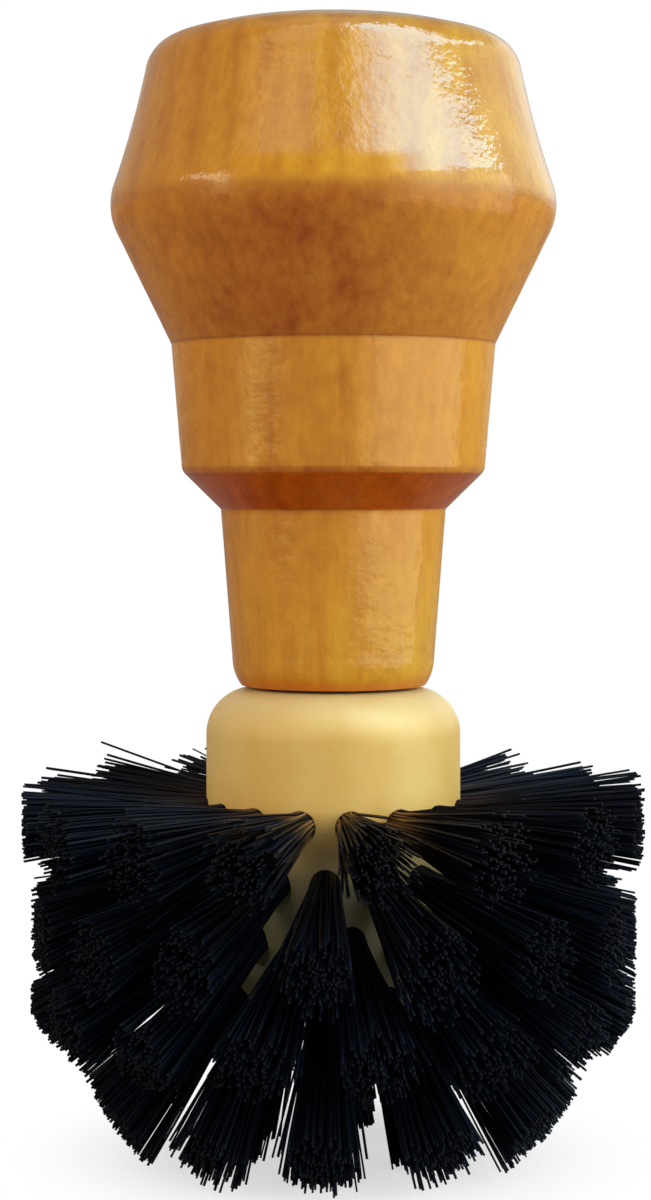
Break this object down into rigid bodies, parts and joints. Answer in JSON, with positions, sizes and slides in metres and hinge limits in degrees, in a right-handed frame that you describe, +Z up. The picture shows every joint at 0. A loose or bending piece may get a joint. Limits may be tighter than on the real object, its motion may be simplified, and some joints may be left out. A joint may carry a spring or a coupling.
{
  "type": "portafilter brush",
  "caption": "Round cleaning brush: turned wooden palm-knob handle over an ivory block with tufts of stiff black bristle fanned out round its side and end.",
  "frame": {"origin": "on the axis, at the plane on which the lowest bristle tips stand", "axes": "+Z up the turned axis from the bristles to the knob, -Y towards the viewer of the picture"},
  "size_m": [0.0626, 0.0626, 0.112],
  "materials": {
    "beech": "clear gloss lacquer",
    "ivory": "satin",
    "steel": "zinc plated",
    "bristle": "nylon sheen"
  },
  "bodies": {
    "root": {"handle": "beech", "dowel_screw": "steel", "head_block": "ivory", "end_tufts": "bristle", "upper_tuft_01": "bristle", "upper_tuft_02": "bristle", "upper_tuft_03": "bristle", "upper_tuft_04": "bristle", "upper_tuft_05": "bristle", "upper_tuft_06": "bristle", "upper_tuft_07": "bristle", "upper_tuft_08": "bristle", "upper_tuft_09": "bristle", "upper_tuft_10": "bristle", "upper_tuft_11": "bristle", "upper_tuft_12": "bristle", "upper_tuft_13": "bristle", "upper_tuft_14": "bristle", "upper_tuft_15": "bristle", "upper_tuft_16": "bristle", "middle_tuft_01": "bristle", "middle_tuft_02": "bristle", "middle_tuft_03": "bristle", "middle_tuft_04": "bristle", "middle_tuft_05": "bristle", "middle_tuft_06": "bristle", "middle_tuft_07": "bristle", "middle_tuft_08": "bristle", "middle_tuft_09": "bristle", "middle_tuft_10": "bristle", "middle_tuft_11": "bristle", "middle_tuft_12": "bristle", "middle_tuft_13": "bristle", "middle_tuft_14": "bristle", "middle_tuft_15": "bristle", "middle_tuft_16": "bristle", "lower_tuft_01": "bristle", "lower_tuft_02": "bristle", "lower_tuft_03": "bristle", "lower_tuft_04": "bristle", "lower_tuft_05": "bristle", "lower_tuft_06": "bristle", "lower_tuft_07": "bristle", "lower_tuft_08": "bristle", "lower_tuft_09": "bristle", "lower_tuft_10": "bristle", "lower_tuft_11": "bristle", "lower_tuft_12": "bristle", "lower_tuft_13": "bristle", "lower_tuft_14": "bristle", "lower_tuft_15": "bristle", "lower_tuft_16": "bristle"}
  },
  "joints": []
}
